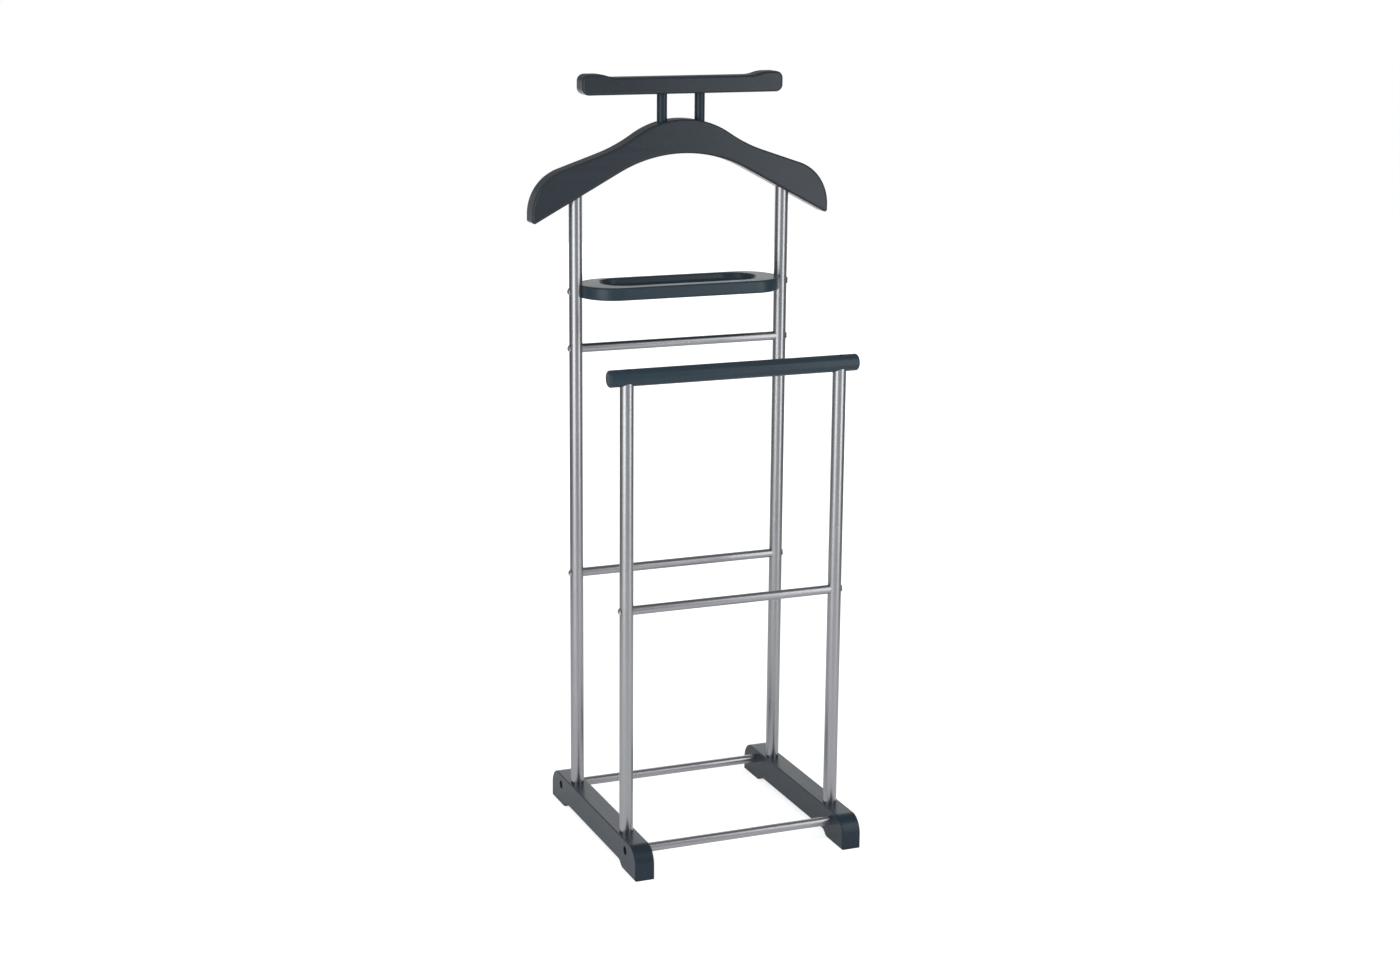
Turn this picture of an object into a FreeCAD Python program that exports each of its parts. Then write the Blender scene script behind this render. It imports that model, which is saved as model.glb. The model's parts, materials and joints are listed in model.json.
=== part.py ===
import FreeCAD, Part
import math
import os
import re

import Sketcher

# Valet stand: two wooden feet carry four steel tubes. The rear pair holds a tray and a wooden
# hanger with a short bar over it; the front pair holds a round trouser bar. Thin rails tie the
# tubes and the feet together. Millimetres, +Z up, front towards -Y, origin on the floor at the
# centre of the feet.

SIZES = {
    # Frame
    "tube_spacing": 311,
    "tube_depth": 203.2,
    "tube_diameter": 19,
    "tube_wall": 1.2,
    "rail_diameter": 12.7,
    "rail_wall": 1,
    "mid_rail_height": 362,
    # Feet
    "foot_overhang": 73.4,
    "foot_width": 28,
    "foot_height": 45,
    "foot_corner_radius": 25,
    "foot_pad_length": 50,
    "foot_step_length": 18,
    "foot_arch_height": 8,
    "foot_edge_radius": 1.6,
    "foot_socket_depth": 12,
    "base_rail_offset": 33,
    "base_rail_drop": 15,
    "base_rail_socket_depth": 6,
    # Hanger board
    "hanger_top": 1003,
    "hanger_width": 444,
    "hanger_thickness": 30,
    "hanger_crown_depth": 47.5,
    "hanger_crown_radius": 126,
    "hanger_neck_angle": 33.5,
    "hanger_neck_radius": 220,
    "hanger_shoulder_angle": 18.6,
    "hanger_tip_radius": 64,
    "hanger_arch_radius": 200,
    "hanger_under_angle": 28.2,
    "hanger_edge_radius": 3.5,
    "hanger_socket_depth": 27,
    "hanger_screw_drop": 11,
    # Posts and top bar
    "post_spacing": 56.4,
    "post_diameter": 14.5,
    "post_socket_depth": 20,
    "top_bar_gap": 34.8,
    "top_bar_length": 298,
    "top_bar_thickness": 30,
    "top_bar_height": 23.6,
    "top_bar_flat_length": 194,
    "top_bar_lip_rise": 4.9,
    "top_bar_lip_run": 30,
    "top_bar_corner_radius": 10,
    "top_bar_edge_radius": 4,
    "top_bar_socket_depth": 14,
    # Tray
    "tray_drop": 235,
    "tray_depth": 98,
    "tray_thickness": 18,
    "tray_notch_depth": 4,
    "tray_front_rim": 19,
    "tray_back_rim": 9,
    "tray_end_rim": 33,
    "tray_recess_depth": 9,
    "tray_recess_taper": 22,
    "tray_recess_radius": 3,
    "tray_edge_radius": 3,
    "upper_rail_drop": 80.3,
    # Trouser bar
    "trouser_bar_height": 683.5,
    "trouser_bar_wall": 2.2,
    "trouser_bar_overhang": 26.5,
    "trouser_bar_end_radius": 3,
    "trouser_bar_socket_rise": 4,
    # Fasteners and plugs
    "bolt_diameter": 6,
    "bolt_head_diameter": 10,
    "bolt_head_height": 2.8,
    "bolt_head_rim": 0.8,
    "bolt_hex_size": 4,
    "bolt_hex_depth": 1.6,
    "bolt_thread_reach": 14,
    "bolt_head_sink": 7,
    "bolt_head_clearance": 1,
    "screw_diameter": 4,
    "screw_head_diameter": 8,
    "screw_sink": 1,
    "bar_screw_sink": 2,
    "screw_cross_width": 1.1,
    "screw_cross_depth": 1.5,
    "screw_cross_length": 4.6,
    "screw_thread_reach": 12,
    "post_screw_reach": 16,
    "post_screw_sink": 8,
    "plug_length": 24,
    "insert_diameter": 9,
    "insert_length": 16,
    # Clearances, on the radius
    "fit_gap": 0.1,
    "thread_gap": 0.05,
    "cope_gap": 0.05,
}

PLACES = {
    "tube_x": "tube_spacing / 2",
    "tube_y": "tube_depth / 2",
    "tube_foot": "foot_height - foot_socket_depth",
    "tube_bore_radius": "tube_diameter / 2 - tube_wall",
    "tube_socket_radius": "tube_diameter / 2 + fit_gap",
    "foot_half_length": "tube_y + foot_overhang",
    "foot_step_radius": "(foot_step_length ^ 2 + foot_arch_height ^ 2) / (4 * foot_arch_height)",
    "bolt_seat_in_arch": "foot_arch_height + bolt_head_sink",
    "bolt_seat_in_foot": "foot_width / 2 - bolt_head_sink",
    "base_rail_y": "tube_y + base_rail_offset",
    "base_rail_z": "foot_height - base_rail_drop",
    "base_rail_end": "tube_x - foot_width / 2 + base_rail_socket_depth",
    "rail_bore_radius": "rail_diameter / 2 - rail_wall",
    "tray_z": "hanger_top - tray_drop",
    "tray_half_length": "tube_x - tube_diameter / 2 + tray_notch_depth",
    "tray_end_radius": "tray_depth / 2",
    "recess_end_radius": "(tray_depth - tray_front_rim - tray_back_rim) / 2",
    "recess_shift": "(tray_front_rim - tray_back_rim) / 2",
    "recess_half_length": "tray_half_length - tray_end_rim",
    "upper_rail_z": "tray_z - upper_rail_drop",
    "trouser_bar_radius": "tube_diameter / 2 + trouser_bar_wall",
    "trouser_bar_half_length": "tube_x + trouser_bar_overhang",
    "front_tube_top": "trouser_bar_height - trouser_bar_socket_rise",
    "hanger_half_width": "hanger_width / 2",
    "crown_end_x": "hanger_crown_radius * sin(hanger_neck_angle)",
    "crown_end_z": "hanger_top - hanger_crown_radius * (1 - cos(hanger_neck_angle))",
    "neck_end_x": "crown_end_x + hanger_neck_radius * (sin(hanger_neck_angle) - sin(hanger_shoulder_angle))",
    "neck_end_z": "crown_end_z - hanger_neck_radius * (cos(hanger_shoulder_angle) - cos(hanger_neck_angle))",
    "tip_start_x": "hanger_half_width - hanger_tip_radius * (1 - sin(hanger_shoulder_angle))",
    "tip_start_z": "neck_end_z - (tip_start_x - neck_end_x) * tan(hanger_shoulder_angle)",
    "tip_end_z": "tip_start_z - hanger_tip_radius * cos(hanger_shoulder_angle)",
    "arch_end_x": "hanger_arch_radius * sin(hanger_under_angle)",
    "arch_top": "hanger_top - hanger_crown_depth",
    "arch_end_z": "arch_top - hanger_arch_radius * (1 - cos(hanger_under_angle))",
    "tip_bottom": "arch_end_z - (hanger_half_width - arch_end_x) * tan(hanger_under_angle)",
    "underside_at_tube": "arch_end_z - (tube_x - arch_end_x) * tan(hanger_under_angle)",
    "rear_tube_top": "underside_at_tube + hanger_socket_depth",
    "hanger_screw_z": "rear_tube_top - hanger_screw_drop",
    "post_x": "post_spacing / 2",
    "post_screw_seat": "arch_top + post_screw_sink",
    "post_bottom": "hanger_top - post_socket_depth",
    "top_bar_bottom": "hanger_top + top_bar_gap",
    "post_top": "top_bar_bottom + top_bar_socket_depth",
    "top_bar_half_length": "top_bar_length / 2",
    "top_bar_top": "top_bar_bottom + top_bar_height",
    "lip_top": "top_bar_top + top_bar_lip_rise",
    "lip_start_x": "top_bar_flat_length / 2",
    "lip_end_x": "lip_start_x + top_bar_lip_run",
    "lip_radius": "(top_bar_lip_run ^ 2 + top_bar_lip_rise ^ 2) / (4 * top_bar_lip_rise)",
    "bolt_radius": "bolt_diameter / 2",
    "bolt_hole_radius": "bolt_radius + thread_gap",
    "bolt_bore_radius": "bolt_head_diameter / 2 + bolt_head_clearance",
    "screw_radius": "screw_diameter / 2",
    "screw_hole_radius": "screw_radius + thread_gap",
    "screw_head_radius": "screw_head_diameter / 2",
    "screw_cone_height": "screw_head_radius - screw_radius",
}

# Where bolts tie the rails to the uprights: rail, place along Y, and height.
RAIL_JOINTS = (
    ("rear_mid_rail", "tube_y", "mid_rail_height"),
    ("rear_upper_rail", "tube_y", "upper_rail_z"),
    ("front_mid_rail", "-tube_y", "mid_rail_height"),
)

# How near two lengths or two volumes must be to count as the same
SAME_LENGTH = 1e-3
SAME_VOLUME = 1e-3

UP = FreeCAD.Rotation()
DOWN = FreeCAD.Rotation(FreeCAD.Vector(1, 0, 0), 180)
ALONG_X = FreeCAD.Rotation(FreeCAD.Vector(0, 1, 0), 90)
ALONG_MINUS_X = FreeCAD.Rotation(FreeCAD.Vector(0, 1, 0), -90)
ALONG_Y = FreeCAD.Rotation(FreeCAD.Vector(1, 0, 0), -90)
ALONG_MINUS_Y = FreeCAD.Rotation(FreeCAD.Vector(1, 0, 0), 90)
ACROSS_X = FreeCAD.Vector(1, 0, 0)
ACROSS_Y = FreeCAD.Vector(0, 1, 0)

doc = FreeCAD.newDocument("valet_stand")
SIZE_NAME = re.compile(r"\b(" + "|".join(SIZES) + r")\b")
PLACE_NAME = re.compile(r"\b(" + "|".join(PLACES) + r")\b")
nodes = []


def bind(item, path, formula):
    """Tie one property to a formula written with the names of sizes and places."""
    formula = SIZE_NAME.sub(r"Sizes.\1", str(formula))
    item.setExpression(path, PLACE_NAME.sub(r"Places.\1", formula))


def make_sheet():
    sheet = doc.addObject("Spreadsheet::Sheet", "Sizes")
    for row, (name, size) in enumerate(SIZES.items(), start=1):
        sheet.set(f"A{row}", name)
        sheet.set(f"B{row}", str(size))
        sheet.setAlias(f"B{row}", name)
    doc.recompute()


def make_places():
    """Places and sizes that follow from the sheet."""
    places = doc.addObject("App::VarSet", "Places")
    for name, formula in PLACES.items():
        places.addProperty("App::PropertyFloat", name, "Places")
        bind(places, name, formula)
    doc.recompute()


make_sheet()
make_places()
question = doc.addObject("App::VarSet", "Question")
question.addProperty("App::PropertyFloat", "answer")


def number(formula):
    """The present value of a formula, worked out by the document."""
    bind(question, "answer", formula)
    question.recompute()
    return question.answer


def locate(item, spot):
    """Tie an item's position to three formulas."""
    for axis, formula in zip("xyz", spot):
        bind(item, f"Placement.Base.{axis}", formula)


def new_body(name):
    body = doc.addObject("PartDesign::Body", name)
    body.Label = name
    return body


def keep(item):
    """Hand one finished sub-part in as a node."""
    nodes.append(item)
    return item


def origin_plane(body, role):
    return next(plane for plane in body.Origin.OriginFeatures if plane.Role == role)


def finish_cut(body, tool, before):
    """A cut has to remove material; one that points the wrong way would pass unseen."""
    body.Tip = tool
    doc.recompute()
    if body.Shape.Volume > before - SAME_VOLUME:
        raise ValueError(f"{body.Label}: {tool.Label} removes nothing")


def add_round(body, name, radius, length, spot, turn=UP):
    rod = body.newObject("PartDesign::AdditiveCylinder", name)
    rod.Placement = FreeCAD.Placement(FreeCAD.Vector(), turn)
    bind(rod, "Radius", radius)
    bind(rod, "Height", length)
    locate(rod, spot)
    body.Tip = rod
    doc.recompute()
    return rod


def cut_round(body, name, radius, length, spot, turn=UP):
    """Bore a round hole from a spot along a direction."""
    before = body.Shape.Volume
    tool = body.newObject("PartDesign::SubtractiveCylinder", name)
    tool.Placement = FreeCAD.Placement(FreeCAD.Vector(), turn)
    bind(tool, "Radius", radius)
    bind(tool, "Height", length)
    locate(tool, spot)
    finish_cut(body, tool, before)


def cut_countersink(body, name, spot, turn, sink):
    """Cut the cone for a screw head that is sunk by an amount below the spot."""
    before = body.Shape.Volume
    tool = body.newObject("PartDesign::SubtractiveCone", name)
    tool.Placement = FreeCAD.Placement(FreeCAD.Vector(), turn)
    bind(tool, "Radius1", f"screw_head_radius + fit_gap + {sink}")
    bind(tool, "Radius2", "screw_radius + fit_gap")
    bind(tool, "Height", f"screw_cone_height + {sink}")
    locate(tool, spot)
    finish_cut(body, tool, before)


def round_edges(body, name, radius, wanted):
    """Round the edges of the body so far that pass a test."""
    base = body.Tip
    names = [f"Edge{i}" for i, edge in enumerate(base.Shape.Edges, start=1) if wanted(edge)]
    rounded = body.newObject("PartDesign::Fillet", name)
    rounded.Base = (base, names)
    bind(rounded, "Radius", radius)
    body.Tip = rounded
    doc.recompute()


def lies_on(edge, axis, level):
    """Whether a whole edge lies in the plane where one coordinate has a given value."""
    box = edge.BoundBox
    low, high = getattr(box, f"{axis}Min"), getattr(box, f"{axis}Max")
    return abs(low - level) < SAME_LENGTH and abs(high - level) < SAME_LENGTH


def arc_middle(start, end, radius, side):
    """The middle of the short arc between two points; side 1 bulges left of the way."""
    chord = end - start
    half = chord.Length / 2
    rise = radius - math.sqrt(radius * radius - half * half)
    left = FreeCAD.Vector(-chord.y, chord.x, 0).normalize()
    return (start + end) / 2 + left * rise * side


def pin_point(sketch, geometry, end, spot):
    """Tie one end of a sketch edge to two formulas measured from the sketch's origin."""
    for kind, axis, formula in (("DistanceX", -2, spot[0]), ("DistanceY", -1, spot[1])):
        level = number(formula)
        if formula == "0":
            sketch.addConstraint(Sketcher.Constraint("PointOnObject", geometry, end, axis))
        else:
            mark = sketch.addConstraint(Sketcher.Constraint(kind, -1, 1, geometry, end, level))
            bind(sketch, f"Constraints[{mark}]", formula)


def draw_outline(body, name, role, corners):
    """Draw a closed outline. Each corner is (x, y), or (x, y, radius, side) when the edge that
    leaves it is an arc."""
    sketch = body.newObject("Sketcher::SketchObject", name)
    sketch.AttachmentSupport = (origin_plane(body, role), "")
    sketch.MapMode = "FlatFace"
    points = [FreeCAD.Vector(number(corner[0]), number(corner[1]), 0) for corner in corners]
    for i, corner in enumerate(corners):
        start, end = points[i], points[(i + 1) % len(points)]
        if len(corner) == 2:
            sketch.addGeometry(Part.LineSegment(start, end))
        else:
            middle = arc_middle(start, end, number(corner[2]), corner[3])
            sketch.addGeometry(Part.Arc(start, middle, end))
    for i, corner in enumerate(corners):
        near = start_of(sketch, i, points[i])
        pin_point(sketch, i, near, corner)
        before = (i - 1) % len(corners)
        far = start_of(sketch, before, points[i])
        sketch.addConstraint(Sketcher.Constraint("Coincident", i, near, before, far))
        if len(corner) == 4:
            mark = sketch.addConstraint(Sketcher.Constraint("Radius", i, number(corner[2])))
            bind(sketch, f"Constraints[{mark}]", corner[2])
    doc.recompute()
    return sketch


def start_of(sketch, geometry, point):
    """Which end of a sketch edge lies at a point: 1 or 2. Arcs always run anticlockwise."""
    return 1 if sketch.getPoint(geometry, 1).distanceToPoint(point) < SAME_LENGTH else 2


def mirror_corners(half):
    """Complete an outline that is symmetric about its upright axis. The half runs from the
    top of the axis side down the positive side; arcs are given on the edge that they draw."""
    mirrored = []
    for i in range(len(half) - 1, -1, -1):
        x, y = half[i][:2]
        arc = half[i - 1][2:] if i > 0 else ()
        mirrored.append((f"-({x})", y, *arc))
    return half + mirrored


def pad_evenly(body, sketch, thickness):
    """Pad a sketch by half its thickness to each side."""
    pad = body.newObject("PartDesign::Pad", sketch.Name + "_pad")
    pad.Profile = sketch
    pad.Midplane = True
    bind(pad, "Length", thickness)
    body.Tip = pad
    doc.recompute()


def foot_corners():
    """The side of a foot: level top with rounded ends, and an arch between two pads."""
    arch_y = "(foot_half_length - foot_pad_length - foot_step_length)"
    middle_y = "(foot_half_length - foot_pad_length - foot_step_length / 2)"
    half = [
        ("foot_half_length - foot_corner_radius", "foot_height", "foot_corner_radius", 1),
        ("foot_half_length", "foot_height - foot_corner_radius"),
        ("foot_half_length", "0"),
        ("foot_half_length - foot_pad_length", "0", "foot_step_radius", 1),
        (middle_y, "foot_arch_height / 2", "foot_step_radius", -1),
        (arch_y, "foot_arch_height"),
    ]
    return mirror_corners(half)


def make_foot(name, side):
    """A foot, with sockets for two tubes and two base rails. Side is 1 for +X, -1 for -X."""
    body = new_body(name)
    sketch = draw_outline(body, name + "_side", "YZ_Plane", foot_corners())
    pad_evenly(body, sketch, "foot_width")
    half_width = number("foot_width / 2")
    round_edges(
        body,
        name + "_edges",
        "foot_edge_radius",
        lambda edge: lies_on(edge, "X", half_width) or lies_on(edge, "X", -half_width),
    )
    outward, inward = (ALONG_X, ALONG_MINUS_X) if side > 0 else (ALONG_MINUS_X, ALONG_X)
    for end, sign in (("rear", ""), ("front", "-")):
        tube_spot = f"{sign}tube_y"
        cut_round(body, f"{name}_{end}_tube_socket", "tube_socket_radius", "foot_socket_depth",
                  ("0", tube_spot, "tube_foot"))
        cut_round(body, f"{name}_{end}_bolt_hole", "bolt_radius + fit_gap", "foot_height",
                  ("0", tube_spot, "0"))
        cut_round(body, f"{name}_{end}_bolt_seat", "bolt_bore_radius", "bolt_seat_in_arch",
                  ("0", tube_spot, "0"))
        rail_spot = f"{sign}base_rail_y"
        cut_round(body, f"{name}_{end}_rail_socket", "rail_diameter / 2 + fit_gap",
                  "foot_width / 2",
                  (f"-{side} * (foot_width / 2 - base_rail_socket_depth)", rail_spot, "base_rail_z"),
                  inward)
        cut_round(body, f"{name}_{end}_rail_bolt_hole", "bolt_radius + fit_gap", "foot_width",
                  (f"{side} * foot_width / 2", rail_spot, "base_rail_z"), inward)
        cut_round(body, f"{name}_{end}_rail_bolt_seat", "bolt_bore_radius", "bolt_head_sink",
                  (f"{side} * bolt_seat_in_foot", rail_spot, "base_rail_z"), outward)
    bind(body, "Placement.Base.x", f"{side} * tube_x")
    keep(body)


def make_upright(name, side, spot_y, top, cross_heights):
    """One steel tube with cross holes for the bolts of its rails and tray."""
    body = new_body(name)
    add_round(body, name + "_tube", "tube_diameter / 2", f"{top} - tube_foot", ("0", "0", "tube_foot"))
    cut_round(body, name + "_bore", "tube_bore_radius", f"{top} - tube_foot", ("0", "0", "tube_foot"))
    for label, height in cross_heights.items():
        cut_round(body, f"{name}_{label}_hole", "bolt_radius + fit_gap", "tube_diameter",
                  ("-tube_diameter / 2", "0", height), ALONG_X)
    bind(body, "Placement.Base.x", f"{side} * tube_x")
    bind(body, "Placement.Base.y", spot_y)
    return keep(body)


def make_uprights():
    rear_holes = {"mid_rail": "mid_rail_height", "upper_rail": "upper_rail_z", "tray": "tray_z"}
    front_holes = {"mid_rail": "mid_rail_height"}
    for hand, side in (("left", -1), ("right", 1)):
        name = f"rear_upright_{hand}"
        body = make_upright(name, side, "tube_y", "rear_tube_top", rear_holes)
        cut_round(body, name + "_screw_hole", "screw_hole_radius", "tube_diameter",
                  ("0", "0", "hanger_screw_z"), ALONG_Y)
        make_upright(f"front_upright_{hand}", side, "-tube_y", "front_tube_top", front_holes)


def make_rail(name, half_length, spot_y, height, coped):
    """A thin tube along X. Coped ends are hollowed to sit against the round uprights."""
    body = new_body(name)
    start = f"-{half_length}"
    add_round(body, name + "_tube", "rail_diameter / 2", f"2 * {half_length}", (start, "0", "0"), ALONG_X)
    cut_round(body, name + "_bore", "rail_bore_radius", f"2 * {half_length}", (start, "0", "0"), ALONG_X)
    if coped:
        cope_end(body, name + "_left_cope", "-tube_x")
        cope_end(body, name + "_right_cope", "tube_x")
    bind(body, "Placement.Base.y", spot_y)
    bind(body, "Placement.Base.z", height)
    return keep(body)


def cope_end(body, name, spot_x):
    """Hollow the end of a piece that meets a round upright."""
    cut_round(body, name, "tube_diameter / 2 + cope_gap", "2 * tube_diameter",
              (spot_x, "0", "-tube_diameter"))


def make_rails():
    make_rail("base_rail_rear", "base_rail_end", "base_rail_y", "base_rail_z", False)
    make_rail("base_rail_front", "base_rail_end", "-base_rail_y", "base_rail_z", False)
    make_rail("rear_mid_rail", "tube_x", "tube_y", "mid_rail_height", True)
    make_rail("rear_upper_rail", "tube_x", "tube_y", "upper_rail_z", True)
    make_rail("front_mid_rail", "tube_x", "-tube_y", "mid_rail_height", True)


def stadium_corners(half_length, radius):
    """A bar with half-round ends, each drawn as two quarter arcs."""
    centre = f"({half_length} - {radius})"
    return [
        (f"-{centre}", radius),
        (centre, radius, radius, 1),
        (half_length, "0", radius, 1),
        (centre, f"-{radius}"),
        (f"-{centre}", f"-{radius}", radius, 1),
        (f"-{half_length}", "0", radius, 1),
    ]


def make_tray():
    """A board with half-round ends and a scooped hollow, notched round the rear tubes."""
    body = new_body("tray")
    outline = stadium_corners("tray_half_length", "tray_end_radius")
    sketch = draw_outline(body, "tray_plan", "XY_Plane", outline)
    pad_evenly(body, sketch, "tray_thickness")
    cut_tray_recess(body)
    top = number("tray_thickness / 2")
    round_edges(body, "tray_edges", "tray_edge_radius",
                lambda edge: lies_on(edge, "Z", top) or lies_on(edge, "Z", -top))
    for hand, side, inward in (("left", -1, ALONG_X), ("right", 1, ALONG_MINUS_X)):
        cut_round(body, f"tray_{hand}_notch", "tube_diameter / 2 + fit_gap", "2 * tray_thickness",
                  (f"{side} * tube_x", "0", "-tray_thickness"))
        cut_round(body, f"tray_{hand}_insert_bore", "insert_diameter / 2 + fit_gap",
                  "tube_diameter / 2 + insert_length + fit_gap", (f"{side} * tube_x", "0", "0"), inward)
    locate(body, ("0", "tube_y", "tray_z"))
    keep(body)


def cut_tray_recess(body):
    """The hollow in the tray's top, with sloping walls and a rounded floor edge."""
    before = body.Shape.Volume
    outline = stadium_corners("recess_half_length", "recess_end_radius")
    sketch = draw_outline(body, "tray_recess", "XY_Plane", outline)
    bind(sketch, "AttachmentOffset.Base.y", "recess_shift")
    bind(sketch, "AttachmentOffset.Base.z", "tray_thickness / 2")
    pocket = body.newObject("PartDesign::Pocket", "tray_recess_pocket")
    pocket.Profile = sketch
    bind(pocket, "Length", "tray_recess_depth")
    bind(pocket, "TaperAngle", "-tray_recess_taper")
    finish_cut(body, pocket, before)
    floor = number("tray_thickness / 2 - tray_recess_depth")
    round_edges(body, "tray_recess_floor", "tray_recess_radius", lambda edge: lies_on(edge, "Z", floor))


def hanger_corners():
    """Shoulder-shaped outline: round crown, hollow neck, sloping shoulders, rounded tips."""
    half = [
        ("crown_end_x", "crown_end_z", "hanger_neck_radius", -1),
        ("neck_end_x", "neck_end_z"),
        ("tip_start_x", "tip_start_z", "hanger_tip_radius", 1),
        ("hanger_half_width", "tip_end_z"),
        ("hanger_half_width", "tip_bottom"),
        ("arch_end_x", "arch_end_z", "hanger_arch_radius", -1),
    ]
    corners = mirror_corners(half)
    corners[-1] = (*corners[-1][:2], "hanger_crown_radius", 1)
    return corners


def make_hanger():
    body = new_body("hanger")
    sketch = draw_outline(body, "hanger_front", "XZ_Plane", hanger_corners())
    pad_evenly(body, sketch, "hanger_thickness")
    face = number("hanger_thickness / 2")
    tip = number("hanger_half_width")
    round_edges(body, "hanger_edges", "hanger_edge_radius",
                lambda edge: lies_on(edge, "Y", face) or lies_on(edge, "Y", -face)
                or lies_on(edge, "X", tip) or lies_on(edge, "X", -tip))
    for hand, side in (("left", -1), ("right", 1)):
        tube_spot = f"{side} * tube_x"
        post_spot = f"{side} * post_x"
        cut_round(body, f"hanger_{hand}_tube_socket", "tube_socket_radius", "rear_tube_top - tip_bottom",
                  (tube_spot, "0", "tip_bottom"))
        cut_round(body, f"hanger_{hand}_screw_hole", "screw_radius + fit_gap", "hanger_thickness / 2",
                  (tube_spot, "0", "hanger_screw_z"), ALONG_Y)
        cut_countersink(body, f"hanger_{hand}_countersink",
                        (tube_spot, "hanger_thickness / 2", "hanger_screw_z"), ALONG_MINUS_Y,
                        "screw_sink")
        cut_round(body, f"hanger_{hand}_post_socket", "post_diameter / 2 + fit_gap",
                  "2 * post_socket_depth", (post_spot, "0", "post_bottom"))
        cut_round(body, f"hanger_{hand}_post_screw_hole", "screw_radius + fit_gap",
                  "post_bottom - tip_bottom", (post_spot, "0", "tip_bottom"))
        cut_round(body, f"hanger_{hand}_post_screw_seat", "screw_head_radius + fit_gap",
                  "post_screw_seat - tip_bottom", (post_spot, "0", "tip_bottom"))
    locate(body, ("0", "tube_y", "0"))
    keep(body)


def make_posts():
    for hand, side in (("left", -1), ("right", 1)):
        name = f"hanger_post_{hand}"
        body = new_body(name)
        bottom = ("0", "0", "post_bottom")
        add_round(body, name + "_dowel", "post_diameter / 2", "post_top - post_bottom", bottom)
        cut_round(body, name + "_pilot", "screw_hole_radius", "post_screw_reach + fit_gap", bottom)
        locate(body, (f"{side} * post_x", "tube_y", "0"))
        keep(body)


def top_bar_corners():
    """Level bar whose two ends rise into low lips, with rounded corners."""
    half = [
        ("lip_start_x", "top_bar_top", "lip_radius", -1),
        ("lip_start_x + top_bar_lip_run / 2", "top_bar_top + top_bar_lip_rise / 2", "lip_radius", 1),
        ("lip_end_x", "lip_top"),
        ("top_bar_half_length - top_bar_corner_radius", "lip_top", "top_bar_corner_radius", 1),
        ("top_bar_half_length", "lip_top - top_bar_corner_radius"),
        ("top_bar_half_length", "top_bar_bottom + top_bar_corner_radius", "top_bar_corner_radius", 1),
        ("top_bar_half_length - top_bar_corner_radius", "top_bar_bottom"),
    ]
    return mirror_corners(half)


def make_top_bar():
    body = new_body("top_bar")
    sketch = draw_outline(body, "top_bar_front", "XZ_Plane", top_bar_corners())
    pad_evenly(body, sketch, "top_bar_thickness")
    face = number("top_bar_thickness / 2")
    round_edges(body, "top_bar_edges", "top_bar_edge_radius",
                lambda edge: lies_on(edge, "Y", face) or lies_on(edge, "Y", -face))
    for hand, side in (("left", -1), ("right", 1)):
        cut_round(body, f"top_bar_{hand}_socket", "post_diameter / 2 + fit_gap", "top_bar_socket_depth",
                  (f"{side} * post_x", "0", "top_bar_bottom"))
    locate(body, ("0", "tube_y", "0"))
    keep(body)


def make_trouser_bar():
    """The round bar, bored from below for the front tubes and from above for their screws."""
    body = new_body("trouser_bar")
    add_round(body, "trouser_bar_rod", "trouser_bar_radius", "2 * trouser_bar_half_length",
              ("-trouser_bar_half_length", "0", "0"), ALONG_X)
    end = number("trouser_bar_half_length")
    round_edges(body, "trouser_bar_ends", "trouser_bar_end_radius",
                lambda edge: lies_on(edge, "X", end) or lies_on(edge, "X", -end))
    for hand, side in (("left", -1), ("right", 1)):
        spot_x = f"{side} * tube_x"
        cut_round(body, f"trouser_bar_{hand}_socket", "tube_socket_radius", "trouser_bar_radius",
                  (spot_x, "0", "-trouser_bar_socket_rise"), DOWN)
        cut_round(body, f"trouser_bar_{hand}_screw_hole", "screw_radius + fit_gap", "2 * trouser_bar_radius",
                  (spot_x, "0", "-trouser_bar_radius"))
        cut_round(body, f"trouser_bar_{hand}_screw_bore", "screw_head_radius + fit_gap",
                  "bar_screw_sink", (spot_x, "0", "trouser_bar_radius"), DOWN)
        cut_countersink(body, f"trouser_bar_{hand}_countersink",
                        (spot_x, "0", "trouser_bar_radius - bar_screw_sink"), DOWN, "0")
    locate(body, ("0", "-tube_y", "trouser_bar_height"))
    keep(body)


def make_plug(name, radius, length, start, turn, hole_radius):
    """A round plug with a threaded hole along its axis."""
    body = new_body(name)
    add_round(body, name + "_rod", radius, length, start, turn)
    cut_round(body, name + "_thread", hole_radius, length, start, turn)
    return body


def mirrored_group(name, item, planes):
    """A node of separate, identical solids: the item and its mirror images."""
    members = [item]
    for normal in planes:
        twins = []
        for member in members:
            twin = doc.addObject("Part::Mirroring", member.Name + "_twin")
            twin.Source = member
            twin.Normal = normal
            twins.append(twin)
        members += twins
    group = doc.addObject("Part::Compound", name)
    group.Label = name
    group.Links = members
    doc.recompute()
    return keep(group)


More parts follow.
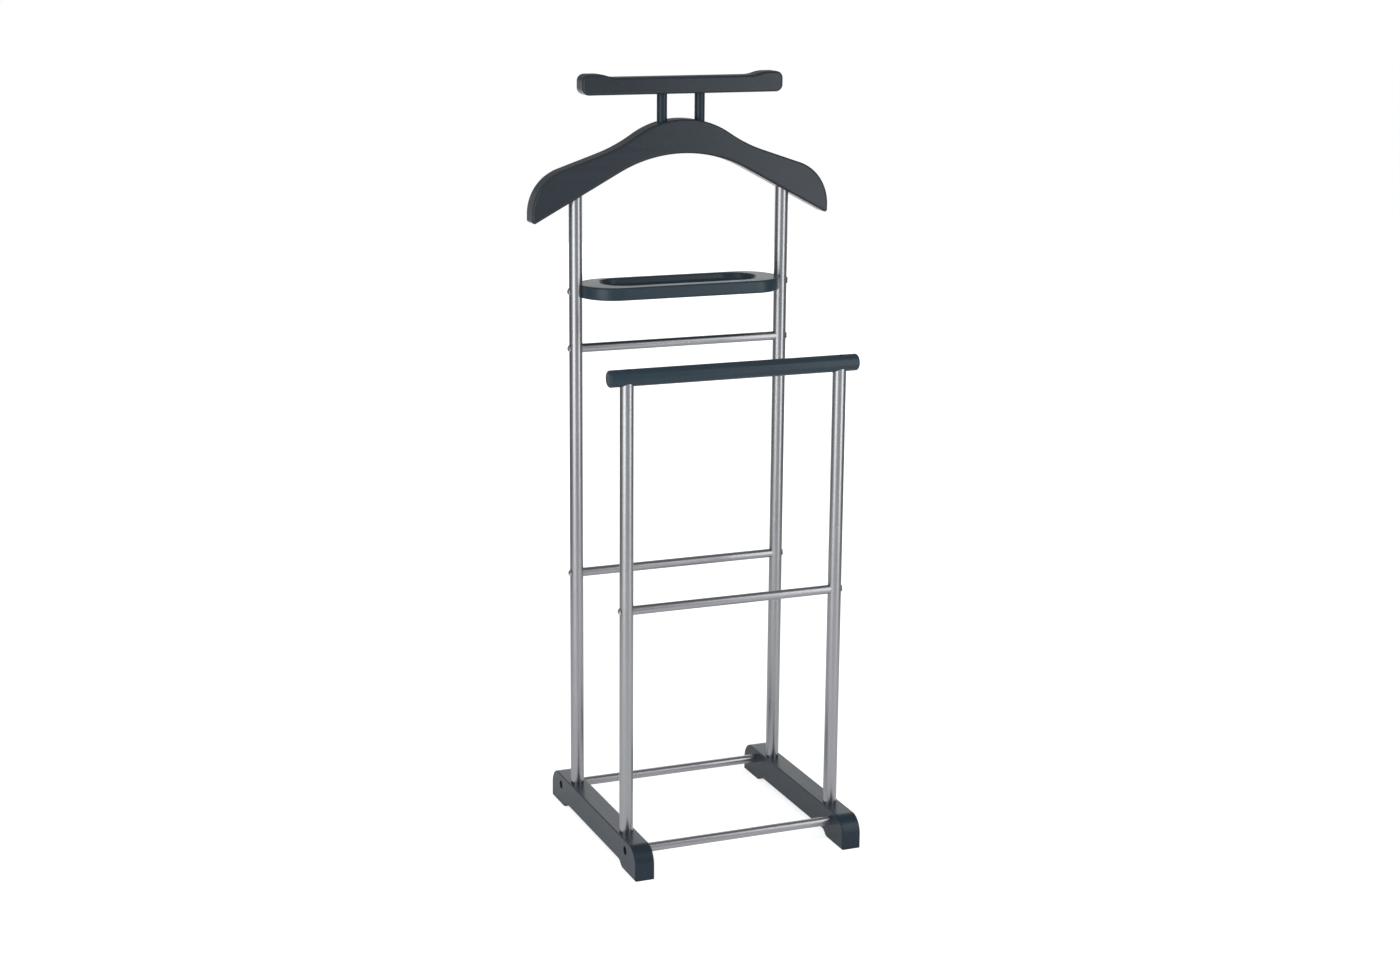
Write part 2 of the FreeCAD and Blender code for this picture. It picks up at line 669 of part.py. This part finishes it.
def make_plugs():
    """Threaded plugs: in the tube ends, in the rail ends and in the tray's ends."""
    tube_fit = "tube_bore_radius - fit_gap"
    foot_plug = make_plug("foot_plug", tube_fit, "plug_length", ("0", "0", "tube_foot"), UP,
                          "bolt_hole_radius")
    locate(foot_plug, ("tube_x", "tube_y", "0"))
    mirrored_group("upright_foot_plugs", foot_plug, (ACROSS_X, ACROSS_Y))

    bar_plug = make_plug("bar_plug", tube_fit, "plug_length", ("0", "0", "front_tube_top"), DOWN,
                         "screw_hole_radius")
    locate(bar_plug, ("tube_x", "-tube_y", "0"))
    mirrored_group("front_upright_top_plugs", bar_plug, (ACROSS_X,))

    hanger_plug = new_body("hanger_plug")
    add_round(hanger_plug, "hanger_plug_rod", tube_fit, "plug_length", ("0", "0", "rear_tube_top"), DOWN)
    cut_round(hanger_plug, "hanger_plug_thread", "screw_hole_radius", "tube_diameter",
              ("0", "-tube_diameter / 2", "hanger_screw_z"), ALONG_Y)
    locate(hanger_plug, ("tube_x", "tube_y", "0"))
    mirrored_group("rear_upright_top_plugs", hanger_plug, (ACROSS_X,))

    base_plug = make_plug("base_plug", "rail_bore_radius - fit_gap", "plug_length",
                          ("base_rail_end", "0", "0"), ALONG_MINUS_X, "bolt_hole_radius")
    locate(base_plug, ("0", "base_rail_y", "base_rail_z"))
    mirrored_group("base_rail_plugs", base_plug, (ACROSS_X, ACROSS_Y))

    for rail, spot_y, height in RAIL_JOINTS:
        plug = make_plug(f"{rail}_plug", "rail_bore_radius - fit_gap", "plug_length + tube_diameter / 2",
                         ("tube_x", "0", "0"), ALONG_MINUS_X, "bolt_hole_radius")
        cope_end(plug, f"{rail}_plug_cope", "tube_x")
        locate(plug, ("0", spot_y, height))
        mirrored_group(f"{rail}_plugs", plug, (ACROSS_X,))

    insert = make_plug("tray_insert", "insert_diameter / 2", "tube_diameter / 2 + insert_length",
                       ("tube_x", "0", "0"), ALONG_MINUS_X, "bolt_hole_radius")
    cope_end(insert, "tray_insert_cope", "tube_x")
    locate(insert, ("0", "tube_y", "tray_z"))
    mirrored_group("tray_inserts", insert, (ACROSS_X,))


def make_bolt(name, length):
    """A button-head bolt along X, its head on the +X side of the origin, with a hex socket."""
    body = new_body(name)
    dome = "((bolt_head_diameter / 2) ^ 2 + (bolt_head_height - bolt_head_rim) ^ 2)"
    dome_radius = f"{dome} / (2 * (bolt_head_height - bolt_head_rim))"
    sketch = draw_outline(body, name + "_half_head", "XY_Plane", [
        ("0", "0"),
        ("0", "bolt_head_diameter / 2"),
        ("bolt_head_rim", "bolt_head_diameter / 2", dome_radius, 1),
        ("bolt_head_height", "0"),
    ])
    head = body.newObject("PartDesign::Revolution", name + "_head")
    head.Profile = sketch
    head.ReferenceAxis = (sketch, ["H_Axis"])
    head.Angle = 360
    body.Tip = head
    doc.recompute()
    add_round(body, name + "_shank", "bolt_radius", length, ("0", "0", "0"), ALONG_MINUS_X)
    before = body.Shape.Volume
    socket = body.newObject("PartDesign::SubtractivePrism", name + "_socket")
    socket.Placement = FreeCAD.Placement(FreeCAD.Vector(), ALONG_X)
    socket.Polygon = 6
    bind(socket, "Circumradius", "bolt_hex_size / 2 / cos(30)")
    bind(socket, "Height", "bolt_head_height")
    bind(socket, "Placement.Base.x", "bolt_head_height - bolt_hex_depth")
    finish_cut(body, socket, before)
    return body


def make_bolts():
    """Bolts through the tubes, and bolts sunk in the feet."""
    for rail, spot_y, height in RAIL_JOINTS:
        bolt = make_bolt(f"{rail}_bolt", "tube_diameter + bolt_thread_reach")
        locate(bolt, ("tube_x + tube_diameter / 2", spot_y, height))
        mirrored_group(f"{rail}_bolts", bolt, (ACROSS_X,))
    tray_bolt = make_bolt("tray_bolt", "tube_diameter + bolt_thread_reach")
    locate(tray_bolt, ("tube_x + tube_diameter / 2", "tube_y", "tray_z"))
    mirrored_group("tray_bolts", tray_bolt, (ACROSS_X,))

    base_reach = "foot_width - base_rail_socket_depth - bolt_head_sink + bolt_thread_reach"
    base_bolt = make_bolt("base_rail_bolt", base_reach)
    locate(base_bolt, ("tube_x + bolt_seat_in_foot", "base_rail_y", "base_rail_z"))
    mirrored_group("base_rail_bolts", base_bolt, (ACROSS_X, ACROSS_Y))

    foot_bolt = make_bolt("foot_bolt", "tube_foot - bolt_seat_in_arch + bolt_thread_reach")
    foot_bolt.Placement = FreeCAD.Placement(FreeCAD.Vector(), ALONG_X)
    locate(foot_bolt, ("tube_x", "tube_y", "bolt_seat_in_arch"))
    mirrored_group("foot_upright_bolts", foot_bolt, (ACROSS_X, ACROSS_Y))


def make_screw(name, length):
    """A countersunk screw along Z, its flat head at the origin and its point below, with a
    cross recess."""
    body = new_body(name)
    sketch = draw_outline(body, name + "_half", "XZ_Plane", [
        ("0", "0"),
        ("screw_head_radius", "0"),
        ("screw_radius", "-screw_cone_height"),
        ("screw_radius", f"screw_diameter - ({length})"),
        ("0", f"-({length})"),
    ])
    shape = body.newObject("PartDesign::Revolution", name + "_shape")
    shape.Profile = sketch
    shape.ReferenceAxis = (sketch, ["V_Axis"])
    shape.Angle = 360
    body.Tip = shape
    doc.recompute()
    for arm, (run, width) in (("long", ("Length", "Width")), ("cross", ("Width", "Length"))):
        before = body.Shape.Volume
        slot = body.newObject("PartDesign::SubtractiveBox", f"{name}_{arm}_slot")
        bind(slot, run, "screw_cross_length")
        bind(slot, width, "screw_cross_width")
        bind(slot, "Height", "screw_cross_depth")
        sizes = {run: "screw_cross_length", width: "screw_cross_width"}
        locate(slot, (f"-{sizes['Length']} / 2", f"-{sizes['Width']} / 2", "-screw_cross_depth"))
        finish_cut(body, slot, before)
    return body


def make_screws():
    """Screws that hold the trouser bar, the hanger and its posts."""
    bar_depth = "trouser_bar_radius + trouser_bar_socket_rise - bar_screw_sink"
    bar_screw = make_screw("bar_screw", f"{bar_depth} + screw_thread_reach")
    bar_screw_z = "trouser_bar_height + trouser_bar_radius - bar_screw_sink"
    locate(bar_screw, ("tube_x", "-tube_y", bar_screw_z))
    mirrored_group("trouser_bar_screws", bar_screw, (ACROSS_X,))

    hanger_screw = make_screw("hanger_screw", "hanger_thickness / 2 - screw_sink + screw_radius")
    hanger_screw.Placement = FreeCAD.Placement(FreeCAD.Vector(), ALONG_Y)
    locate(hanger_screw, ("tube_x", "tube_y + hanger_thickness / 2 - screw_sink", "hanger_screw_z"))
    mirrored_group("hanger_screws", hanger_screw, (ACROSS_X,))

    post_length = "post_bottom - post_screw_seat + screw_cone_height + post_screw_reach"
    post_screw = make_screw("post_screw", post_length)
    post_screw.Placement = FreeCAD.Placement(FreeCAD.Vector(), DOWN)
    locate(post_screw, ("post_x", "tube_y", "post_screw_seat - screw_cone_height"))
    mirrored_group("post_screws", post_screw, (ACROSS_X,))


def check_document():
    """Stop at any feature that failed and any node without a sound shape."""
    doc.recompute()
    for item in doc.Objects:
        if "Invalid" in item.State or "Error" in item.State:
            raise ValueError(f"{item.Label} failed: {item.State}")
    for item in nodes:
        if item.Shape.isNull() or not item.Shape.isValid():
            raise ValueError(f"{item.Label} has no valid shape")


def write_nodes():
    os.makedirs("parts", exist_ok=True)
    for item in nodes:
        item.Shape.exportStep(f"parts/{item.Label}.step")


make_foot("left_foot", -1)
make_foot("right_foot", 1)
make_uprights()
make_rails()
make_tray()
make_hanger()
make_posts()
make_top_bar()
make_trouser_bar()
make_plugs()
make_bolts()
make_screws()
check_document()
write_nodes()
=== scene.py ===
import json
import math

import bmesh
import bpy
from mathutils import Matrix, Vector


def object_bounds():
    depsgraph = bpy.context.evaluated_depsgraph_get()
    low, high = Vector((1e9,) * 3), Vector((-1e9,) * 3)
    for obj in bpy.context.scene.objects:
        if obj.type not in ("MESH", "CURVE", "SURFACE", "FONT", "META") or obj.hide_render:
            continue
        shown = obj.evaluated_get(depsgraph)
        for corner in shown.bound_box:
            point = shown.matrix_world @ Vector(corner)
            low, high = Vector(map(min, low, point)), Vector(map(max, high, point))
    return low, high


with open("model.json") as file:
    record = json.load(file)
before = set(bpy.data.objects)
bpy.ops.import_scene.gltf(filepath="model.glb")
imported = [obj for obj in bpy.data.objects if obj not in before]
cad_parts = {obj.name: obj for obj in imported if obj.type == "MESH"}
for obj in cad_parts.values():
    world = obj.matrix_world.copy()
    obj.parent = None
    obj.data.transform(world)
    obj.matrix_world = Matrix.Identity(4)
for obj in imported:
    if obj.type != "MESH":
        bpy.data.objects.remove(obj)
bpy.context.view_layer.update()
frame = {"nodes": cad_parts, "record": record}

# Which finish each part of the stand has. Wood grain runs along the long way of a board.
HANGER_BOARDS = ("hanger", "top_bar")
SMALL_BOARDS = ("tray", "trouser_bar")
FEET = ("left_foot", "right_foot")
POSTS = ("hanger_post_left", "hanger_post_right")
UPRIGHTS = ("rear_upright_left", "rear_upright_right", "front_upright_left", "front_upright_right")
RAILS = ("base_rail_rear", "base_rail_front", "rear_mid_rail", "rear_upper_rail", "front_mid_rail")

# Base colours of the finishes, and of the painted shade on sharp edges, in linear light.
CHARCOAL = (0.028, 0.038, 0.049)
CHARCOAL_BLUE = (0.026, 0.047, 0.065)
CHARCOAL_DEEP = (0.017, 0.032, 0.048)
SILVER = (0.39, 0.40, 0.42)
ZINC = (0.66, 0.66, 0.655)
BRASS = (0.62, 0.44, 0.16)
BLACK = (0.022, 0.022, 0.024)
DUST = (0.09, 0.10, 0.11)
# Painted shade: the dark lines along the boards' sharp edges, not a colour of the paint.
PAINTED_EDGE_SHADE = (0.008, 0.011, 0.014)

# Grain and drawn lines: few repeats per metre along a piece, many across it.
GRAIN_ALONG, GRAIN_ACROSS = 9, 160
LINES_ALONG, LINES_ACROSS = 5, 700

# Lacquer: repeats per metre of its patterns, and heights of its bumps in metres.
LACQUER_CLOUDS, LACQUER_PEEL, LACQUER_DUST = 9.0, 620.0, 2600.0
LACQUER_PEEL_HEIGHT, LACQUER_GRAIN_HEIGHT = 0.00003, 0.00005
# How wide the painted edge shade is, and how far it darkens the lacquer on sharp edges.
EDGE_WIDTH, EDGE_DARKENING = 0.0012, 0.6

# Powder coat: the same for its own patterns.
COAT_FLAKES, COAT_CLOUDS, COAT_PEEL = 2400.0, 14.0, 900.0
COAT_PEEL_HEIGHT, COAT_LINE_HEIGHT = 0.0000015, 0.000001

# How far a bevel turns the normal, as a cosine, on an edge and on an open face.
EDGE_COSINE, FACE_COSINE = 0.92, 0.995
BEVEL_SAMPLES = 4

# Floor: how white the camera sees it near the object and far from it, and the distances
# between which it fades. Then how bright it is in the object's gloss.
FLOOR_NEAR, FLOOR_FAR = 0.72, 1.0
FADE_START, FADE_END = 0.3, 2.0
FLOOR_IN_GLOSS = 0.28

# Room: how bright it is in the object's gloss and on its matt faces.
ROOM_IN_GLOSS, ROOM_ON_MATT = 0.26, 0.42

# The view: where the camera stands in metres, its turns in degrees, lens and sensor in mm.
CAMERA_PLACE = Vector((-1.2351, -2.9879, 1.2965))
CAMERA_AZIMUTH = -22.33
CAMERA_PITCH = 13.70
CAMERA_ROLL = 0.52
CAMERA_LENS = 61.05
CAMERA_SENSOR = 36.0


# Node helpers

class Finish:
    """A procedural material under construction, with short ways to add its nodes."""

    def __init__(self, name):
        self.material = bpy.data.materials.new(name)
        self.material.use_nodes = True
        self.nodes = self.material.node_tree.nodes
        self.links = self.material.node_tree.links
        self.shader = self.nodes["Principled BSDF"]
        self.place = self.nodes.new("ShaderNodeTexCoord").outputs["Object"]

    def set(self, **values):
        """Set shader sockets; an underscore in a name stands for a space."""
        for name, value in values.items():
            self.shader.inputs[name.replace("_", " ")].default_value = value

    def stretch(self, scale):
        """Object coordinates scaled by a different amount each way."""
        mapping = self.nodes.new("ShaderNodeMapping")
        mapping.inputs["Scale"].default_value = scale
        self.links.new(self.place, mapping.inputs["Vector"])
        return mapping.outputs["Vector"]

    def noise(self, scale, detail=3.0, roughness=0.55, place=None):
        node = self.nodes.new("ShaderNodeTexNoise")
        node.inputs["Scale"].default_value = scale
        node.inputs["Detail"].default_value = detail
        node.inputs["Roughness"].default_value = roughness
        self.links.new(place or self.place, node.inputs["Vector"])
        return node.outputs["Fac"]

    def span(self, value, low, high, start=0.3, end=0.7):
        """Map a value that runs from start to end onto low to high."""
        node = self.nodes.new("ShaderNodeMapRange")
        node.inputs["From Min"].default_value = start
        node.inputs["From Max"].default_value = end
        node.inputs["To Min"].default_value = low
        node.inputs["To Max"].default_value = high
        self.links.new(value, node.inputs["Value"])
        return node.outputs["Result"]

    def math(self, operation, first, second):
        node = self.nodes.new("ShaderNodeMath")
        node.operation = operation
        for socket, value in zip(node.inputs, (first, second)):
            if isinstance(value, float):
                socket.default_value = value
            else:
                self.links.new(value, socket)
        return node.outputs["Value"]

    def tint(self, color, shade):
        """A colour made lighter or darker by a shade value around 1."""
        node = self.nodes.new("ShaderNodeVectorMath")
        node.operation = "SCALE"
        node.inputs[0].default_value = color
        self.links.new(shade, node.inputs["Scale"])
        return node.outputs["Vector"]

    def mix(self, factor, first, second):
        node = self.nodes.new("ShaderNodeMix")
        node.data_type = "RGBA"
        self.links.new(factor, node.inputs["Factor"])
        for name, value in (("A", first), ("B", second)):
            socket = next(s for s in node.inputs if s.name == name and s.type == "RGBA")
            if isinstance(value, tuple):
                socket.default_value = (*value, 1)
            else:
                self.links.new(value, socket)
        return next(s for s in node.outputs if s.type == "RGBA")

    def bump(self, height, distance, below=None):
        """Bump a surface by a height, on top of the bump below it if there is one."""
        node = self.nodes.new("ShaderNodeBump")
        node.inputs["Distance"].default_value = distance
        node.inputs["Strength"].default_value = 1.0
        self.links.new(height, node.inputs["Height"])
        if below is not None:
            self.links.new(below, node.inputs["Normal"])
        return node.outputs["Normal"]

    def edge_mask(self, width):
        """1 on sharp edges and 0 on open faces, from how far a bevel turns the normal."""
        bevel = self.nodes.new("ShaderNodeBevel")
        bevel.inputs["Radius"].default_value = width
        bevel.samples = BEVEL_SAMPLES
        geometry = self.nodes.new("ShaderNodeNewGeometry")
        dot = self.nodes.new("ShaderNodeVectorMath")
        dot.operation = "DOT_PRODUCT"
        self.links.new(bevel.outputs["Normal"], dot.inputs[0])
        self.links.new(geometry.outputs["Normal"], dot.inputs[1])
        turned = dot.outputs["Value"]
        return self.span(turned, 1.0, 0.0, start=EDGE_COSINE, end=FACE_COSINE)

    def wire(self, output, socket):
        self.links.new(output, self.shader.inputs[socket])


# Materials

def painted_wood(name, color, grain_scale):
    """Charcoal lacquer over close-grained wood: faint grain, slight orange peel, satin gloss, and
    painted shade darkening its sharp edges.
    """
    f = Finish(name)
    grain_place = f.stretch(grain_scale)
    grain = f.noise(1.0, detail=6.0, roughness=0.6, place=grain_place)
    cloud = f.noise(LACQUER_CLOUDS, detail=4.0)
    peel = f.noise(LACQUER_PEEL, detail=2.0)
    dust = f.noise(LACQUER_DUST, detail=1.0)
    shade = f.math("ADD", f.span(cloud, 0.45, 0.55), f.span(grain, 0.46, 0.54))
    edge = f.edge_mask(EDGE_WIDTH)
    body = f.tint(color, shade)
    speck = f.span(dust, 0.0, 0.35, start=0.70, end=0.80)
    dusted = f.mix(speck, body, DUST)
    # Sharp edges are darkened towards the painted edge shade.
    f.wire(f.mix(f.math("MULTIPLY", edge, EDGE_DARKENING), dusted, PAINTED_EDGE_SHADE), "Base Color")
    rough = f.math("ADD", f.span(cloud, 0.24, 0.30), f.span(grain, 0.0, 0.05))
    f.wire(rough, "Roughness")
    grained = f.bump(grain, LACQUER_GRAIN_HEIGHT)
    f.wire(f.bump(peel, LACQUER_PEEL_HEIGHT, below=grained), "Normal")
    f.set(Specular_IOR_Level=0.3)
    return f.material


def powder_coat(name, along):
    """Silver powder coat on steel tube: a fine flake and faint lines along the tube."""
    f = Finish(name)
    flakes = f.nodes.new("ShaderNodeTexVoronoi")
    flakes.inputs["Scale"].default_value = COAT_FLAKES
    f.links.new(f.place, flakes.inputs["Vector"])
    flake = f.nodes.new("ShaderNodeRGBToBW")
    f.links.new(flakes.outputs["Color"], flake.inputs["Color"])
    cloud = f.noise(COAT_CLOUDS, detail=3.0)
    lines = f.noise(1.0, detail=3.0, place=f.stretch(along))
    peel = f.noise(COAT_PEEL, detail=2.0)
    sparkle = f.span(flake.outputs["Val"], 0.47, 0.53)
    shade = f.math("ADD", sparkle, f.span(cloud, 0.48, 0.54))
    f.wire(f.tint(SILVER, shade), "Base Color")
    rough = f.math("ADD", f.span(cloud, 0.28, 0.31), f.span(lines, 0.0, 0.02))
    f.wire(rough, "Roughness")
    lined = f.bump(lines, COAT_LINE_HEIGHT)
    f.wire(f.bump(peel, COAT_PEEL_HEIGHT, below=lined), "Normal")
    f.set(Metallic=1.0)
    return f.material


def zinc_plate(name):
    """Zinc-plated fasteners: bright, with fine scratches and cloudy patches."""
    f = Finish(name)
    cloud = f.noise(450.0, detail=4.0)
    scratches = f.noise(1.0, detail=2.0, place=f.stretch((3000.0, 420.0, 420.0)))
    f.wire(f.tint(ZINC, f.span(cloud, 0.85, 1.1)), "Base Color")
    f.wire(f.span(scratches, 0.2, 0.38), "Roughness")
    f.wire(f.bump(scratches, 0.00001), "Normal")
    f.set(Metallic=1.0)
    return f.material


def moulded_plastic(name):
    """Black nylon plugs: matte, with a fine moulded texture."""
    f = Finish(name)
    grain = f.noise(1500.0, detail=2.0)
    f.wire(f.tint(BLACK, f.span(grain, 0.85, 1.2)), "Base Color")
    f.wire(f.span(grain, 0.5, 0.65), "Roughness")
    f.wire(f.bump(grain, 0.00002), "Normal")
    return f.material


def turned_brass(name):
    """Threaded brass inserts: turned metal with slight tarnish."""
    f = Finish(name)
    tarnish = f.noise(300.0, detail=4.0)
    turning = f.noise(1.0, detail=1.0, place=f.stretch((5000.0, 150.0, 150.0)))
    f.wire(f.tint(BRASS, f.span(tarnish, 0.75, 1.1)), "Base Color")
    f.wire(f.span(turning, 0.25, 0.4), "Roughness")
    f.wire(f.bump(turning, 0.00001), "Normal")
    f.set(Metallic=1.0)
    return f.material


def finish_nodes():
    """Give every CAD node its finish, with the grain or the lines along its length."""
    by_name = {}
    woods = (
        (HANGER_BOARDS, CHARCOAL, (GRAIN_ALONG, GRAIN_ACROSS, GRAIN_ACROSS)),
        (SMALL_BOARDS, CHARCOAL_BLUE, (GRAIN_ALONG, GRAIN_ACROSS, GRAIN_ACROSS)),
        (FEET, CHARCOAL_DEEP, (GRAIN_ACROSS, GRAIN_ALONG, GRAIN_ACROSS)),
        (POSTS, CHARCOAL_DEEP, (GRAIN_ACROSS, GRAIN_ACROSS, GRAIN_ALONG)),
    )
    tubes = (
        (UPRIGHTS, (LINES_ACROSS, LINES_ACROSS, LINES_ALONG)),
        (RAILS, (LINES_ALONG, LINES_ACROSS, LINES_ACROSS)),
    )
    for names, color, scale in woods:
        material = painted_wood(f"charcoal_{names[0]}", color, scale)
        by_name.update({name: material for name in names})
    for names, scale in tubes:
        material = powder_coat(f"silver_{names[0]}", scale)
        by_name.update({name: material for name in names})
    by_slot = {
        "zinc_bolt": zinc_plate("zinc"),
        "plastic_plug": moulded_plastic("black_nylon"),
        "brass_insert": turned_brass("brass"),
    }
    slots = {part["node"]: part["material_slot"] for part in frame["record"]["subparts"]}
    for name, piece in frame["nodes"].items():
        material = by_name.get(name) or by_slot[slots[name]]
        for holder in piece.material_slots:
            holder.material = material


# Room

def mesh_piece(name, bm, material):
    mesh = bpy.data.meshes.new(name)
    bm.to_mesh(mesh)
    bm.free()
    mesh.materials.append(material)
    piece = bpy.data.objects.new(name, mesh)
    bpy.context.scene.collection.objects.link(piece)
    return piece


def floor_material():
    """Pale floor: it keeps a soft shadow near the object and turns white further out."""
    f = Finish("pale_floor")
    f.set(Roughness=0.9, Base_Color=(0.8, 0.8, 0.8, 1), Specular_IOR_Level=0.0)
    far = f.nodes.new("ShaderNodeVectorMath")
    far.operation = "LENGTH"
    f.links.new(f.place, far.inputs[0])
    white = f.span(far.outputs["Value"], FLOOR_NEAR, FLOOR_FAR, start=FADE_START, end=FADE_END)
    glow = f.nodes.new("ShaderNodeEmission")
    rays = f.nodes.new("ShaderNodeLightPath").outputs
    mirrored = f.math("MAXIMUM", rays["Is Glossy Ray"], rays["Is Transmission Ray"])
    seen = f.math("MULTIPLY", rays["Is Camera Ray"], white)
    shown = f.math("ADD", seen, f.math("MULTIPLY", mirrored, FLOOR_IN_GLOSS))
    f.links.new(shown, glow.inputs["Strength"])
    both = f.nodes.new("ShaderNodeAddShader")
    f.links.new(f.shader.outputs["BSDF"], both.inputs[0])
    f.links.new(glow.outputs["Emission"], both.inputs[1])
    f.links.new(both.outputs["Shader"], f.nodes["Material Output"].inputs["Surface"])
    return f.material


def make_floor():
    bm = bmesh.new()
    bmesh.ops.create_circle(bm, cap_ends=True, segments=96, radius=6.0)
    floor = mesh_piece("floor", bm, floor_material())
    floor.location.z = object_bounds()[0].z


def view_directions():
    """Level directions from the object: towards the camera, and to its right."""
    turn = math.radians(CAMERA_AZIMUTH)
    towards = Vector((math.sin(turn), -math.cos(turn), 0))
    right = Vector((math.cos(turn), math.sin(turn), 0))
    return towards, right


def make_world():
    """White to the camera, and a dim, even room in the object's gloss and on its matt faces."""
    world = bpy.data.worlds.new("studio")
    bpy.context.scene.world = world
    world.use_nodes = True
    tree = world.node_tree
    nodes, links = tree.nodes, tree.links
    room = nodes["Background"]
    room.inputs["Strength"].default_value = ROOM_IN_GLOSS
    soft = nodes.new("ShaderNodeBackground")
    soft.inputs["Strength"].default_value = ROOM_ON_MATT
    white = nodes.new("ShaderNodeBackground")
    for background in (room, soft, white):
        background.inputs["Color"].default_value = (1, 1, 1, 1)
    light_path = nodes.new("ShaderNodeLightPath")
    lit = nodes.new("ShaderNodeMixShader")
    links.new(light_path.outputs["Is Diffuse Ray"], lit.inputs["Fac"])
    links.new(room.outputs["Background"], lit.inputs[1])
    links.new(soft.outputs["Background"], lit.inputs[2])
    shown = nodes.new("ShaderNodeMixShader")
    links.new(light_path.outputs["Is Camera Ray"], shown.inputs["Fac"])
    links.new(lit.outputs["Shader"], shown.inputs[1])
    links.new(white.outputs["Background"], shown.inputs[2])
    links.new(shown.outputs["Shader"], nodes["World Output"].inputs["Surface"])


def make_softbox(name, turn, distance, height, width, tall, radiance, aim):
    """A softbox facing a height on the object's axis.

    It stands turned from the camera's side of the object, in degrees to the right.
    """
    towards, right = view_directions()
    angle = math.radians(turn)
    light = bpy.data.lights.new(name, "AREA")
    light.shape = "RECTANGLE"
    light.size, light.size_y = width, tall
    light.energy = radiance * math.pi * width * tall
    lamp = bpy.data.objects.new(name, light)
    lamp.location = (towards * math.cos(angle) + right * math.sin(angle)) * distance
    lamp.location.z = height
    away = lamp.location - Vector((0, 0, aim))
    lamp.rotation_euler = away.to_track_quat("Z", "Y").to_euler()
    lamp.visible_camera = False
    bpy.context.scene.collection.objects.link(lamp)


def make_card(name, turn, distance, width, tall, shade):
    """An upright card that shows only in the object's gloss, bright or dim by its shade."""
    towards, right = view_directions()
    angle = math.radians(turn)
    out = towards * math.cos(angle) + right * math.sin(angle)
    across = Vector((-out.y, out.x, 0)) * width / 2
    foot = out * distance
    bm = bmesh.new()
    rise = Vector((0, 0, tall))
    corners = (foot - across, foot + across, foot + across + rise, foot - across + rise)
    bm.faces.new([bm.verts.new(corner) for corner in corners])
    material = bpy.data.materials.new(name)
    material.use_nodes = True
    tree = material.node_tree
    glow = tree.nodes.new("ShaderNodeEmission")
    glow.inputs["Strength"].default_value = shade
    tree.links.new(glow.outputs["Emission"], tree.nodes["Material Output"].inputs["Surface"])
    card = mesh_piece(name, bm, material)
    card.visible_camera = card.visible_diffuse = card.visible_shadow = False


def make_lights():
    """Two softboxes at the sides, a small one above, a bright card behind and a dim one each side."""
    make_softbox(
        "softbox_left", turn=-35, distance=1.6, height=1.0,
        width=1.0, tall=1.8, radiance=2.2, aim=0.95,
    )
    make_softbox(
        "softbox_right", turn=59, distance=1.6, height=1.0,
        width=0.6, tall=1.8, radiance=2.5, aim=0.95,
    )
    make_softbox(
        "softbox_top", turn=0, distance=1.0, height=2.3,
        width=1.2, tall=0.35, radiance=1.0, aim=0.8,
    )
    make_card("card_back", turn=180, distance=1.3, width=3.4, tall=1.08, shade=1.3)
    make_card("flag_left", turn=-105, distance=1.3, width=1.6, tall=1.4, shade=0.2)
    make_card("flag_right", turn=110, distance=1.3, width=1.6, tall=1.4, shade=0.2)


def make_camera():
    data = bpy.data.cameras.new("camera")
    data.sensor_width = CAMERA_SENSOR
    data.lens = CAMERA_LENS
    camera = bpy.data.objects.new("camera", data)
    turn, pitch, roll = (math.radians(a) for a in (CAMERA_AZIMUTH, CAMERA_PITCH, CAMERA_ROLL))
    level_right = Vector((math.cos(turn), math.sin(turn), 0))
    back = Vector((
        math.sin(turn) * math.cos(pitch),
        -math.cos(turn) * math.cos(pitch),
        math.sin(pitch),
    ))
    level_up = back.cross(level_right)
    right = level_right * math.cos(roll) + level_up * math.sin(roll)
    up = level_up * math.cos(roll) - level_right * math.sin(roll)
    turned = Matrix((right, up, back)).transposed().to_4x4()
    camera.matrix_world = Matrix.Translation(CAMERA_PLACE) @ turned
    bpy.context.scene.collection.objects.link(camera)
    bpy.context.scene.camera = camera


make_camera()
finish_nodes()
make_floor()
make_world()
make_lights()
bpy.context.scene.view_settings.view_transform = "Standard"
